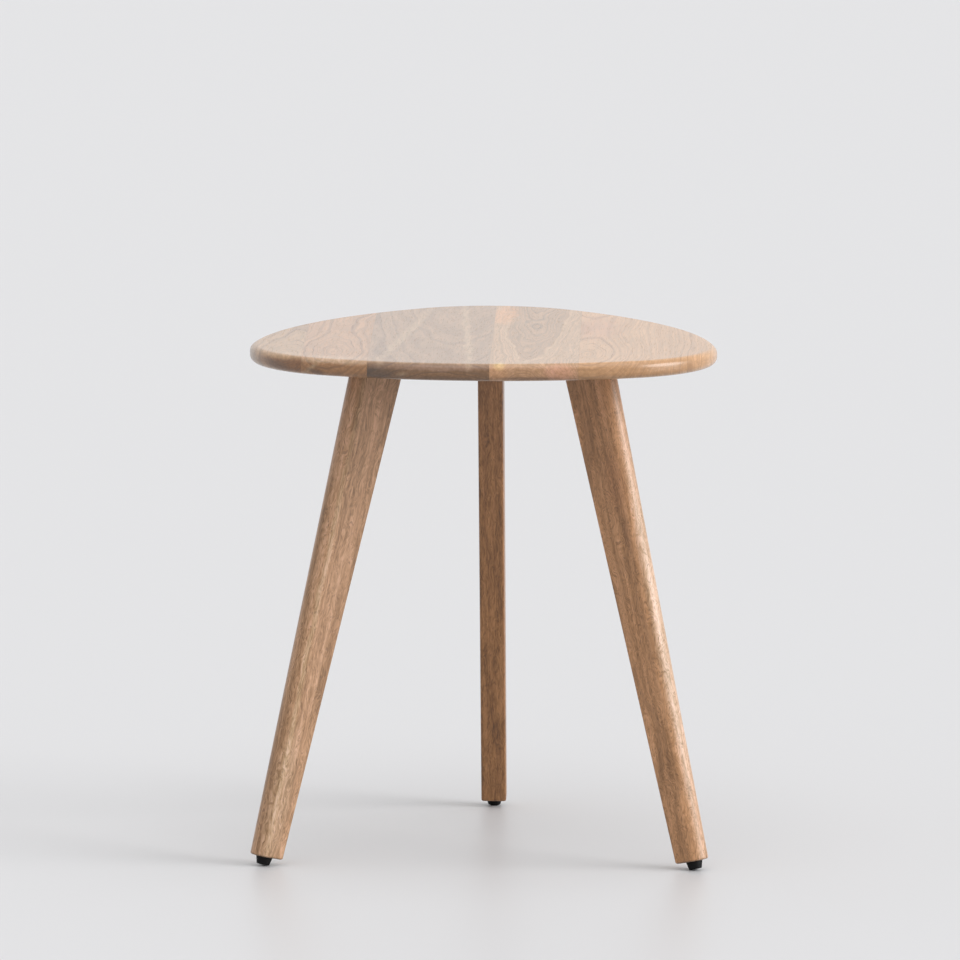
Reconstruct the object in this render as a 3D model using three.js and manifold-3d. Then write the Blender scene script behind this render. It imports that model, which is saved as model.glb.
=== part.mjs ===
// A triangle side table. Five boards are glued edge to edge into a rounded triangular top. Three tapered legs
// splay out under its corners. A steel plate is screwed to the upper end of each leg and bolted to the top,
// and a black glide screws into the lower end. Millimetres, +Z up, floor at Z = 0, one corner towards +Y.

import * as THREE from 'three';
import { mergeVertices } from 'three/addons/utils/BufferGeometryUtils.js';
import Module from 'manifold-3d';

// Top
const tableHeight = 508;
const topWidth = 457; // across X, over two of the rounded corners
const topThickness = 17;
const topCornerRadius = 125;
const topSideBulge = 21; // how far a side bows out past the straight line between its corner arcs
const topRoundover = 7; // on the upper and on the lower arris
const seamPlaces = [-177, -112, 6.5, 92.5]; // of the glue lines between the boards, square to them
const seamTurn = THREE.MathUtils.degToRad(1.4); // of the glue lines, from the line to the rear corner
const glueThickness = 0.1;

// Legs
const legThickness = 25;
const legTopWidth = 50; // square to the outer edge, level with the leg's upper end
const legFootWidth = 29; // square to the outer edge, at the cut lower end
const legSetback = 98; // on the underside, from the top's corner in to the leg's outer edge
const legSplay = THREE.MathUtils.degToRad(13); // lean of the outer edge
const legArris = 2; // small round on the inner corners and round the cut end

// Plates, with their bolts and screws
const plateThickness = 3;
const plateInset = 1; // from the leg's inner and outer edge in to the plate's
const plateMargin = 11; // from a bolt's axis to the plate's edges
const plateCornerRadius = 7;
const boltRadius = 3;
const boltGrip = 10; // how far a bolt stands up into the top
const boltClearance = 8; // from the side of the leg to a bolt's head
const boltHeadRadius = 5.25;
const boltHeadHeight = 3.3;
const boltRimHeight = 1.2; // of the straight rim under the head's dome
const boltCrownRadius = 3.2; // of the flat on top of the dome
const boltSocketWidth = 4; // across the flats of the hexagon
const boltSocketDepth = 2;
const topInsertWall = 1.3;
const topInsertLength = 11;
const screwRadius = 2.1;
const screwLength = 38;
const screwHeadHeight = 2.1; // of the 90 degree countersunk head
const screwTipLength = 6;
const screwMargin = 9; // from a screw's axis to the leg's edge, where the two are closest

// Glides
const studRadius = 3.9;
const studLength = 32;
const studChamfer = 0.8;
const footInsertWall = 1.6;
const footInsertLength = 15;
const glideHeight = 7.7;
const glideTopRadius = 8.1;
const glideTaper = 1.6; // how much smaller the glide's radius is below
const glideRimRadius = 1;
const glideSole = 1.4; // plastic left below the stud

// Clearances
const runningGap = 0.1; // between the stud and the bores that it turns or slides in
const pocketGap = 0.3; // from a fixed piece to the pocket cut for it, and from a glide to its leg
const overshoot = 2; // how far a cutter runs past the face that it opens

// Facets
const outlineDivisions = 5; // half the number of chords in each arc of the top's outline
const roundoverSteps = 4;
const bullnoseSteps = 8;
const arrisSteps = 2;
const cornerSegments = 2; // chords in each half of a plate's corner
const smallFacets = 12;
const glideFacets = 24;
const weldDistance = 1e-4;

// Places that follow from the sizes
const quarterTurn = Math.PI / 2;
const thirdTurn = (2 * Math.PI) / 3;
const sinSplay = Math.sin(legSplay);
const cosSplay = Math.cos(legSplay);
const undersideZ = tableHeight - topThickness;
const legTopZ = undersideZ - plateThickness;
const cornerCentreReach = (topWidth / 2 - topCornerRadius) / Math.sin(thirdTurn);
const legTopReach = cornerCentreReach + topCornerRadius - legSetback;

const wasm = await Module();
wasm.setup();

function toSolid(geometry) {
  const bare = geometry.clone();
  bare.deleteAttribute('normal');
  bare.deleteAttribute('uv');
  const merged = mergeVertices(bare, weldDistance);
  const vertProperties = merged.attributes.position.array;
  const triVerts = new Uint32Array(merged.index.array);
  return new wasm.Manifold(new wasm.Mesh({ numProp: 3, vertProperties, triVerts }));
}

function toGeometry(solid) {
  const mesh = solid.getMesh();
  const geometry = new THREE.BufferGeometry();
  geometry.setAttribute('position', new THREE.BufferAttribute(mesh.vertProperties, 3));
  geometry.setIndex(new THREE.BufferAttribute(mesh.triVerts, 1));
  return geometry;
}

// A body of revolution about Z from [radius, z] points that run from the lowest one round the outside.
function turned(profile, facets) {
  const points = profile.map(([radius, z]) => new THREE.Vector2(radius, z));
  return new THREE.LatheGeometry(points, facets).rotateX(quarterTurn);
}

// A ring about Z: its profile closes on itself.
function ring(innerRadius, outerRadius, lowZ, highZ, facets) {
  const corners = [[innerRadius, lowZ], [outerRadius, lowZ], [outerRadius, highZ], [innerRadius, highZ]];
  return turned([...corners, corners[0]], facets);
}

function rod(radius, lowZ, highZ, facets) {
  return turned([[0, lowZ], [radius, lowZ], [radius, highZ], [0, highZ]], facets);
}

const table = new THREE.Group();

function addPiece(parent, name, geometry, material) {
  const mesh = new THREE.Mesh(geometry, material);
  mesh.name = name;
  parent.add(mesh);
  return mesh;
}

const wood = (color) => new THREE.MeshStandardMaterial({ color, roughness: 0.55, metalness: 0 });
const legWood = wood(0x86603f);
const boardWoods = [wood(0xb7a089), wood(0xb1917a), wood(0x8f7b69), wood(0xc9ad86), wood(0xb68d68)];
const blackSteel = new THREE.MeshStandardMaterial({ color: 0x1d1d1f, roughness: 0.5, metalness: 0.6 });
const zincSteel = new THREE.MeshStandardMaterial({ color: 0xb9bcc0, roughness: 0.35, metalness: 1 });
const blackPlastic = new THREE.MeshStandardMaterial({ color: 0x151515, roughness: 0.6, metalness: 0 });

// The top's outline is three corner arcs joined by three flatter side arcs, all tangent to each other. A side
// arc shares its centre with the arc through the centres of its two corner arcs, which bows out by the bulge.
function topOutline() {
  const halfChord = cornerCentreReach * Math.sin(thirdTurn / 2);
  const centreArcRadius = (halfChord ** 2 + topSideBulge ** 2) / (2 * topSideBulge);
  const sideRadius = centreArcRadius + topCornerRadius;
  const sideSpan = Math.asin(halfChord / centreArcRadius);
  const cornerSpan = thirdTurn / 2 - sideSpan;
  const sideSetback = centreArcRadius - topSideBulge - cornerCentreReach * Math.cos(thirdTurn / 2);
  const shape = new THREE.Shape();
  for (let corner = 0; corner < 3; corner++) {
    const a = quarterTurn + corner * thirdTurn;
    const [x, y] = [cornerCentreReach * Math.cos(a), cornerCentreReach * Math.sin(a)];
    shape.absarc(x, y, topCornerRadius, a - cornerSpan, a + cornerSpan, false);
    const b = a + thirdTurn / 2;
    const [sideX, sideY] = [-sideSetback * Math.cos(b), -sideSetback * Math.sin(b)];
    shape.absarc(sideX, sideY, sideRadius, b - sideSpan, b + sideSpan, false);
  }
  return shape;
}

// The glide's outside as [radius, distance below the leg's end], from the top face to the middle of the sole.
const glideBottomRadius = glideTopRadius - glideTaper;
const glideProfile = [[glideTopRadius, pocketGap]];
for (let step = 0; step <= arrisSteps; step++) {
  const a = (step / arrisSteps) * quarterTurn;
  glideProfile.push([
    glideBottomRadius - glideRimRadius * (1 - Math.cos(a)),
    pocketGap + glideHeight - glideRimRadius * (1 - Math.sin(a)),
  ]);
}
glideProfile.push([0, pocketGap + glideHeight]);

// The glide leans with the leg and the lowest point of its rim meets the floor, which sets the middle of the
// leg's cut end, the end's outer corner (the heel) and the length of the outer edge.
const legEndZ = Math.max(...glideProfile.map(([radius, drop]) => drop * cosSplay + radius * sinSplay));
const legHeelZ = legEndZ + (legFootWidth / 2) * sinSplay;
const legHeelReach = legTopReach + (undersideZ - legHeelZ) * Math.tan(legSplay);
const legEndReach = legHeelReach - (legFootWidth / 2) * cosSplay;
const legLength = (legTopZ - legHeelZ) / cosSplay;
const legTaper = (legTopWidth - legFootWidth) / legLength;

// A point of the leg: up is measured along the outer edge from the cut end, inward square to that edge.
function legPoint(up, inward, across) {
  const reach = legHeelReach - up * sinSplay - inward * cosSplay;
  return [reach, across, legHeelZ + up * cosSplay - inward * sinSplay];
}

// The point at a given height on the long line that starts at inward on the cut end and moves inwards by
// taper for each unit up.
function legPointAt(z, inward, taper, across) {
  const up = (z - legHeelZ + inward * sinSplay) / (cosSplay - taper * sinSplay);
  return legPoint(up, inward + taper * up, across);
}

const outerReachAt = (z) => legPointAt(z, 0, 0, 0)[0];
const innerReachAt = (z) => legPointAt(z, legFootWidth, legTaper, 0)[0];

// The leg's section, going round: a half circle on the outer edge, then two small rounds on the inner one.
// Each point has its distance from the edge that it belongs to, and its place across the leg.
function legSection() {
  const half = legThickness / 2;
  const points = [];
  for (let step = 0; step <= bullnoseSteps; step++) {
    const a = -quarterTurn + (step / bullnoseSteps) * Math.PI;
    points.push({ inner: false, edge: half - half * Math.cos(a), across: half * Math.sin(a) });
  }
  for (const side of [1, -1]) {
    for (let step = 0; step <= arrisSteps; step++) {
      const a = side > 0 ? (step / arrisSteps) * quarterTurn : (1 - step / arrisSteps) * quarterTurn;
      points.push({
        inner: true,
        edge: legArris - legArris * Math.sin(a),
        across: side * (half - legArris + legArris * Math.cos(a)),
      });
    }
  }
  return points;
}

// A closed solid through rings of equally many points, each ring convex and flat.
function loft(rings) {
  const count = rings[0].length;
  const positions = rings.flat(2);
  const index = [];
  for (let level = 0; level < rings.length - 1; level++) {
    for (let i = 0; i < count; i++) {
      const j = (i + 1) % count;
      const [a, b] = [level * count + i, level * count + j];
      index.push(a, b, b + count, a, b + count, a + count);
    }
  }
  const last = (rings.length - 1) * count;
  for (let i = 1; i < count - 1; i++) {
    index.push(0, i + 1, i);
    index.push(last, last + i, last + i + 1);
  }
  const geometry = new THREE.BufferGeometry();
  geometry.setAttribute('position', new THREE.Float32BufferAttribute(positions, 3));
  geometry.setIndex(index);
  return geometry;
}

// The leg is lofted up from its cut end: a ring inside the end's small round, the full section, and the level
// upper end. The lines along the leg are straight, so the inner edge tapers and the outer one doesn't.
function legGeometry() {
  const middle = legFootWidth / 2;
  const shrinkInward = 1 - legArris / middle;
  const shrinkAcross = 1 - legArris / (legThickness / 2);
  const lowEnd = [];
  const foot = [];
  const upperEnd = [];
  for (const { inner, edge, across } of legSection()) {
    const inward = inner ? legFootWidth - edge : edge;
    const taper = inner ? legTaper : 0;
    lowEnd.push(legPoint(0, middle + (inward - middle) * shrinkInward, across * shrinkAcross));
    foot.push(legPoint(legArris, inward + taper * legArris, across));
    upperEnd.push(legPointAt(legTopZ, inward, taper, across));
  }
  return loft([lowEnd, foot, upperEnd]);
}

// The plate sits on the middle of the leg's upper end. Its bolts stand beside the leg, and its screws run
// down into the leg, clear of the outer edge at the head and of the slanting inner edge at the tip.
const plateReach = (outerReachAt(legTopZ) + innerReachAt(legTopZ)) / 2;
const plateWidth = outerReachAt(legTopZ) - innerReachAt(legTopZ) - 2 * plateInset;
const boltPitchWide = plateWidth - 2 * plateMargin;
const boltPitchLong = legThickness + 2 * (boltClearance + boltHeadRadius);
const plateLength = boltPitchLong + 2 * plateMargin;
const boltPlaces = [];
for (const x of [-boltPitchWide / 2, boltPitchWide / 2]) {
  for (const y of [-boltPitchLong / 2, boltPitchLong / 2]) {
    boltPlaces.push([x, y]);
  }
}
const innerScrewReach = innerReachAt(undersideZ - screwLength) + screwMargin;
const outerScrewReach = outerReachAt(legTopZ) - screwMargin;
const screwPlaces = [innerScrewReach - plateReach, outerScrewReach - plateReach];

// A countersunk screw: z is measured up from the flat of its head, which lies flush with the plate.
function screwProfile(gap) {
  return [
    [0, -screwLength - gap],
    [screwRadius + gap, -screwLength + screwTipLength - gap],
    [screwRadius + gap, -screwHeadHeight],
    [screwRadius + screwHeadHeight + gap, 0],
    [0, 0],
  ];
}

// The cutter for a screw's hole: the screw with room round it, carried on past the face of the plate.
function screwCutter() {
  const profile = screwProfile(pocketGap).slice(0, -1);
  const headRadius = screwRadius + screwHeadHeight + pocketGap;
  profile.push([headRadius, overshoot], [0, overshoot]);
  return turned(profile, smallFacets);
}

function plateOutline() {
  const [x, y] = [plateWidth / 2 - plateCornerRadius, plateLength / 2 - plateCornerRadius];
  const shape = new THREE.Shape();
  shape.absarc(x, y, plateCornerRadius, 0, quarterTurn, false);
  shape.absarc(-x, y, plateCornerRadius, quarterTurn, 2 * quarterTurn, false);
  shape.absarc(-x, -y, plateCornerRadius, 2 * quarterTurn, 3 * quarterTurn, false);
  shape.absarc(x, -y, plateCornerRadius, 3 * quarterTurn, 4 * quarterTurn, false);
  return shape;
}

function plateGeometry() {
  const blank = new THREE.ExtrudeGeometry(plateOutline(), {
    depth: plateThickness, bevelEnabled: false, curveSegments: cornerSegments,
  });
  let plate = toSolid(blank);
  for (const [x, y] of boltPlaces) {
    const hole = rod(boltRadius + pocketGap, -overshoot, plateThickness + overshoot, smallFacets);
    plate = plate.subtract(toSolid(hole.translate(x, y, 0)));
  }
  for (const x of screwPlaces) {
    plate = plate.subtract(toSolid(screwCutter().translate(x, 0, plateThickness)));
  }
  return toGeometry(plate);
}

// The button head hangs below z = 0, with its dome down, and the threaded shank stands above it.
function boltGeometry() {
  const profile = [[0, -boltHeadHeight]];
  for (let step = 0; step <= arrisSteps; step++) {
    const a = (1 - step / arrisSteps) * quarterTurn;
    profile.push([
      boltCrownRadius + (boltHeadRadius - boltCrownRadius) * Math.cos(a),
      -boltRimHeight - (boltHeadHeight - boltRimHeight) * Math.sin(a),
    ]);
  }
  const shankTop = plateThickness + boltGrip;
  profile.push([boltHeadRadius, 0], [boltRadius, 0], [boltRadius, shankTop], [0, shankTop]);
  const socketRadius = boltSocketWidth / Math.sqrt(3);
  const socket = rod(socketRadius, -boltHeadHeight - overshoot, boltSocketDepth - boltHeadHeight, 6);
  return toGeometry(toSolid(turned(profile, smallFacets)).subtract(toSolid(socket)));
}

// The glide's pieces stand on the axis of the leg's end, z up into the leg from the cut face.
const studBoreRadius = studRadius + runningGap;
const footInsertRadius = studBoreRadius + footInsertWall;
const studBoreEndZ = glideSole - glideHeight - pocketGap;
const studLowZ = studBoreEndZ + pocketGap;
const studHighZ = studLowZ + studLength;

function footGeometry() {
  const outside = glideProfile.map(([radius, drop]) => [radius, -drop]).reverse();
  const bore = [[studBoreRadius, -pocketGap], [studBoreRadius, studBoreEndZ], [0, studBoreEndZ]];
  return turned([...outside, ...bore], glideFacets);
}

function studGeometry() {
  return turned([
    [0, studLowZ],
    [studRadius, studLowZ],
    [studRadius, studHighZ - studChamfer],
    [studRadius - studChamfer, studHighZ],
    [0, studHighZ],
  ], glideFacets);
}

// The hole bored up the leg's cut end: wide for the insert, then just wide enough for the stud.
function footCutter() {
  const wide = footInsertRadius + pocketGap;
  const narrow = studRadius + pocketGap;
  return turned([
    [0, -overshoot],
    [wide, -overshoot],
    [wide, footInsertLength + pocketGap],
    [narrow, footInsertLength + pocketGap],
    [narrow, studHighZ + pocketGap],
    [0, studHighZ + pocketGap],
  ], glideFacets);
}

// Three equal corners, each a group whose X points from the table's centre to the corner.
const corners = ['rear', 'left', 'right'];
const topInsertBore = boltRadius + pocketGap;
const topInsertRadius = topInsertBore + topInsertWall;
const topInsertPlaces = [];
corners.forEach((corner, turn) => {
  const group = new THREE.Group();
  group.rotation.z = quarterTurn + turn * thirdTurn;
  table.add(group);

  let leg = toSolid(legGeometry());
  for (const x of screwPlaces) {
    leg = leg.subtract(toSolid(screwCutter().translate(plateReach + x, 0, undersideZ)));
  }
  const endBore = footCutter().rotateY(-legSplay).translate(legEndReach, 0, legEndZ);
  leg = leg.subtract(toSolid(endBore));
  addPiece(group, `${corner}_leg`, toGeometry(leg), legWood);

  const fittings = new THREE.Group();
  fittings.position.set(plateReach, 0, legTopZ);
  group.add(fittings);
  addPiece(fittings, `${corner}_leg_plate`, plateGeometry(), blackSteel);
  screwPlaces.forEach((x, i) => {
    const screw = turned(screwProfile(0), smallFacets);
    addPiece(fittings, `${corner}_leg_screw_${i + 1}`, screw, zincSteel).position.set(x, 0, plateThickness);
  });
  boltPlaces.forEach(([x, y], i) => {
    addPiece(fittings, `${corner}_plate_bolt_${i + 1}`, boltGeometry(), zincSteel).position.set(x, y, 0);
    const insert = ring(topInsertBore, topInsertRadius, 0, topInsertLength, smallFacets);
    const placed = addPiece(fittings, `${corner}_top_insert_${i + 1}`, insert, zincSteel);
    placed.position.set(x, y, plateThickness);
    const place = new THREE.Vector3(plateReach + x, y, 0);
    topInsertPlaces.push(place.applyAxisAngle(new THREE.Vector3(0, 0, 1), group.rotation.z));
  });

  const glide = new THREE.Group();
  glide.position.set(legEndReach, 0, legEndZ);
  glide.rotation.y = -legSplay;
  group.add(glide);
  const footInsert = ring(studBoreRadius, footInsertRadius, 0, footInsertLength, glideFacets);
  addPiece(glide, `${corner}_foot_insert`, footInsert, zincSteel);
  addPiece(glide, `${corner}_glide_stud`, studGeometry(), zincSteel);
  addPiece(glide, `${corner}_glide_foot`, footGeometry(), blackPlastic);
});

// The top: one rounded slab with blind pockets for the inserts, cut into its boards on upright planes that
// run nearly front to back.
const slab = new THREE.ExtrudeGeometry(topOutline(), {
  depth: topThickness - 2 * topRoundover,
  curveSegments: outlineDivisions,
  bevelThickness: topRoundover,
  bevelSize: topRoundover,
  bevelOffset: -topRoundover,
  bevelSegments: roundoverSteps,
});
let top = toSolid(slab.translate(0, 0, undersideZ + topRoundover));
const pocketDepth = Math.max(topInsertLength, boltGrip) + pocketGap;
for (const { x, y } of topInsertPlaces) {
  const pocket = rod(topInsertRadius + pocketGap, -overshoot, pocketDepth, smallFacets);
  top = top.subtract(toSolid(pocket.translate(x, y, undersideZ)));
}
const boardEdges = [-topWidth, ...seamPlaces, topWidth];
boardWoods.forEach((boardWood, i) => {
  const [low, high] = [boardEdges[i] + glueThickness / 2, boardEdges[i + 1] - glueThickness / 2];
  const slice = new THREE.BoxGeometry(high - low, 2 * topWidth, 4 * topThickness);
  slice.translate((low + high) / 2, 0, tableHeight).rotateZ(seamTurn);
  addPiece(table, `top_board_${i + 1}`, toGeometry(top.intersect(toSolid(slice))), boardWood);
});

// The origin lies on the floor, under the middle of the whole table's bounding box.
const box = new THREE.Box3().setFromObject(table, true);
table.position.y = -(box.min.y + box.max.y) / 2;

export default table;
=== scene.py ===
import math

import bmesh
import bpy
from mathutils import Euler, Matrix, Vector


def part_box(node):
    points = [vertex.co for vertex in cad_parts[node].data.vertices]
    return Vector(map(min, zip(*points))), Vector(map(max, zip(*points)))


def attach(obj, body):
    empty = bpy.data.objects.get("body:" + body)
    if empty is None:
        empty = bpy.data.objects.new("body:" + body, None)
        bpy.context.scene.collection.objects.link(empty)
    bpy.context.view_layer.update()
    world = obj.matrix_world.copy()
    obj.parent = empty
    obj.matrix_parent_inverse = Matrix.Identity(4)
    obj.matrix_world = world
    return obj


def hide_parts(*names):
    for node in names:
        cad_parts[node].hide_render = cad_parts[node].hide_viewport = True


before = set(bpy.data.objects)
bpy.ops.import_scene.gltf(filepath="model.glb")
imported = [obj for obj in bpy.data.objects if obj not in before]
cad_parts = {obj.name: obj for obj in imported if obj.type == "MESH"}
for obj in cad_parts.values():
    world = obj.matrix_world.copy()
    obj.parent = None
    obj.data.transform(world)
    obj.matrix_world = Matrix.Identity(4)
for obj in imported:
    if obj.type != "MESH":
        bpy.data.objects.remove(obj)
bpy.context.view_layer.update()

# The top's five boards are solid open-pored hardwood, their grain running front to back. They are glued edge
# to edge, the panel is sawn to a rounded triangle, its arrises are rounded over, and it is finished in satin
# oil. Blind holes in the underside take the threaded inserts.
corner_turns = {"rear": math.radians(90), "left": math.radians(210), "right": math.radians(330)}


def middle(node_name):
    """The middle of a CAD node's box."""
    low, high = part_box(node_name)
    return (low + high) / 2


plate_middles = [middle(f"{corner}_leg_plate") for corner in corner_turns]
table_axis = sum(plate_middles, Vector()) / len(plate_middles)
table_axis.z = 0
underside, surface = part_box("top_board_3")[0].z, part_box("top_board_3")[1].z
top_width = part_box("top_board_5")[1].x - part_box("top_board_1")[0].x
top_corner_radius = 0.125
top_side_bulge = 0.021
top_roundover = 0.007
seam_places = (-0.177, -0.112, 0.0065, 0.0925)  # of the glue lines, square to them from the table's axis
seam_turn = math.radians(1.4)
flat_ring = 0.0015  # a narrow flat rim that keeps the shading of the roundover off the flat face
arc_chords = 40
roundover_chords = 9
insert_hole_radius = 0.0049
insert_hole_depth = 0.0113
drill_facets = 48
drill_overshoot = 0.0015
smooth_turn = math.radians(32)  # faces that meet at a greater turn show an edge
quarter_turn = math.radians(90)
sixth_turn = math.radians(60)


def towards(turn):
    """A step of one metre on the level, at a turn from +X to +Y."""
    return Vector((math.cos(turn), math.sin(turn), 0))


def arc_points(centre, radius, start, end, chords):
    """Points along an arc from one turn to another, both ends among them."""
    turns = [start + (end - start) * step / chords for step in range(chords + 1)]
    return [centre + radius * towards(turn) for turn in turns]


def quarter_round(radius, chords):
    """Points round a quarter circle: how far each is past its start, and how far short of its end."""
    turns = [quarter_turn * step / chords for step in range(chords + 1)]
    return [(radius * (1 - math.cos(turn)), radius * (1 - math.sin(turn))) for turn in turns]


def top_outline(inset):
    """The rounded triangle, drawn in by an inset: an arc round each corner and along each side."""
    half_chord = top_width / 2 - top_corner_radius
    corner_reach = half_chord / math.sin(sixth_turn)
    centre_arc_radius = (half_chord**2 + top_side_bulge**2) / (2 * top_side_bulge)
    side_span = math.asin(half_chord / centre_arc_radius)
    corner_span = sixth_turn - side_span
    side_setback = centre_arc_radius - top_side_bulge - corner_reach / 2
    outline = []
    for turn in corner_turns.values():
        centre = table_axis + corner_reach * towards(turn)
        radius = top_corner_radius - inset
        outline += arc_points(centre, radius, turn - corner_span, turn + corner_span, arc_chords)[:-1]
        side_turn = turn + sixth_turn
        centre = table_axis - side_setback * towards(side_turn)
        radius = centre_arc_radius + top_corner_radius - inset
        outline += arc_points(centre, radius, side_turn - side_span, side_turn + side_span, arc_chords)[:-1]
    return outline


def skinned(rings):
    """A closed shell through rings of equally many points, with flat ends."""
    shell = bmesh.new()
    loops = [[shell.verts.new(point) for point in ring] for ring in rings]
    count = len(loops[0])
    for lower, upper in zip(loops, loops[1:]):
        for i in range(count):
            j = (i + 1) % count
            shell.faces.new((lower[i], lower[j], upper[j], upper[i]))
    shell.faces.new(loops[0][::-1])
    shell.faces.new(loops[-1])
    return shell


def in_scene(name, data):
    """A new object in the scene."""
    made = bpy.data.objects.new(name, data)
    bpy.context.scene.collection.objects.link(made)
    return made


def finished_piece(name, shell, material, sharp_angle=smooth_turn):
    """An object made of a shell, smooth but for its sharp edges, in one material."""
    mesh = bpy.data.meshes.new(name)
    bmesh.ops.recalc_face_normals(shell, faces=shell.faces)
    shell.to_mesh(mesh)
    shell.free()
    mesh.shade_smooth()
    mesh.set_sharp_from_angle(angle=sharp_angle)
    mesh.materials.append(material)
    return in_scene(name, mesh)


def settle(piece):
    """Work a piece's modifiers into its mesh."""
    depsgraph = bpy.context.evaluated_depsgraph_get()
    mesh = bpy.data.meshes.new_from_object(piece.evaluated_get(depsgraph), depsgraph=depsgraph)
    piece.modifiers.clear()
    piece.data = mesh


def bore(piece, rods):
    """Make holes in a piece where the rods, each (foot, head, radius), pass through it."""
    cutter = bmesh.new()
    for foot, head, radius in rods:
        along = head - foot
        place = Matrix.Translation((foot + head) / 2) @ along.to_track_quat("Z", "Y").to_matrix().to_4x4()
        bmesh.ops.create_cone(
            cutter, cap_ends=True, segments=drill_facets, radius1=radius, radius2=radius, depth=along.length,
            matrix=place,
        )
    drill = finished_piece(piece.name + "_drill", cutter, piece.data.materials[0])
    cut = piece.modifiers.new("holes", "BOOLEAN")
    cut.operation = "DIFFERENCE"
    cut.solver = "EXACT"
    cut.object = drill
    settle(piece)
    piece.data.set_sharp_from_angle(angle=smooth_turn)
    bpy.data.objects.remove(drill)


def upright_rod(node_name, low, high, radius):
    """The rod of an upright hole through the middle of a CAD node."""
    place = middle(node_name)
    return Vector((place.x, place.y, low)), Vector((place.x, place.y, high)), radius


def feed(tree, inputs, given):
    """Give a node's inputs their values, or the sockets that they are linked to."""
    for key, value in given.items():
        if isinstance(value, bpy.types.NodeSocket):
            tree.links.new(value, inputs[key])
        else:
            inputs[key].default_value = value


def node(tree, kind, inputs=None, **settings):
    """A node with its settings and its inputs."""
    made = tree.nodes.new(kind)
    for setting, value in settings.items():
        setattr(made, setting, value)
    feed(tree, made.inputs, inputs or {})
    return made


def maths(tree, operation, *values):
    return node(tree, "ShaderNodeMath", dict(enumerate(values)), operation=operation).outputs[0]


def plus(tree, first, second):
    return maths(tree, "ADD", first, second)


def minus(tree, first, second):
    return maths(tree, "SUBTRACT", first, second)


def times(tree, first, second):
    return maths(tree, "MULTIPLY", first, second)


def vector_maths(tree, operation, *values):
    return node(tree, "ShaderNodeVectorMath", dict(enumerate(values)), operation=operation).outputs


def vector_of(tree, *parts):
    return node(tree, "ShaderNodeCombineXYZ", dict(enumerate(parts))).outputs[0]


def swing(tree, value, reach):
    """A value between 0 and 1, moved to lie so far either side of 0."""
    return times(tree, minus(tree, value, 0.5), reach)


def smooth_step(tree, value, low, high):
    """0 below low and 1 above high, or the other way round where low is the larger."""
    inputs = {"Value": value, "From Min": low, "From Max": high}
    return node(tree, "ShaderNodeMapRange", inputs, interpolation_type="SMOOTHSTEP").outputs[0]


def mixed(tree, share, first, second, way="MIX"):
    inputs = {0: share, 6: first, 7: second}
    return node(tree, "ShaderNodeMix", inputs, data_type="RGBA", blend_type=way).outputs[2]


zeros = (0.0, 0.0, 0.0)


def effect(name, inputs, outputs):
    """An empty shader group, with the sockets inside it that read its inputs and take its outputs."""
    tree = bpy.data.node_groups.new(name, "ShaderNodeTree")
    for in_out, sockets in (("INPUT", inputs), ("OUTPUT", outputs)):
        for label, value in sockets.items():
            kind = "NodeSocketVector" if isinstance(value, tuple) else "NodeSocketFloat"
            tree.interface.new_socket(label, in_out=in_out, socket_type=kind).default_value = value
    return tree, tree.nodes.new("NodeGroupInput").outputs, tree.nodes.new("NodeGroupOutput").inputs


def stretched_noise(tree, vector, width, length, seed, detail=2.0, distortion=0.0):
    """Noise whose blotches are so wide across the grain and so long along it."""
    place = vector_maths(tree, "DIVIDE", vector, vector_of(tree, width, width, length))[0]
    inputs = {
        "Vector": place, "W": seed, "Scale": 1.0, "Detail": detail, "Roughness": 0.55,
        "Distortion": distortion,
    }
    return node(tree, "ShaderNodeTexNoise", inputs, noise_dimensions="4D").outputs


def swayed(tree, vector, noise, reach):
    """A place moved by coloured noise, about so far to either side."""
    centred = vector_maths(tree, "SUBTRACT", noise["Color"], (0.5, 0.5, 0.5))[0]
    inputs = {0: centred, "Scale": times(tree, reach, 3.0)}
    offset = node(tree, "ShaderNodeVectorMath", inputs, operation="SCALE").outputs[0]
    return vector_maths(tree, "ADD", vector, offset)[0]


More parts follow.
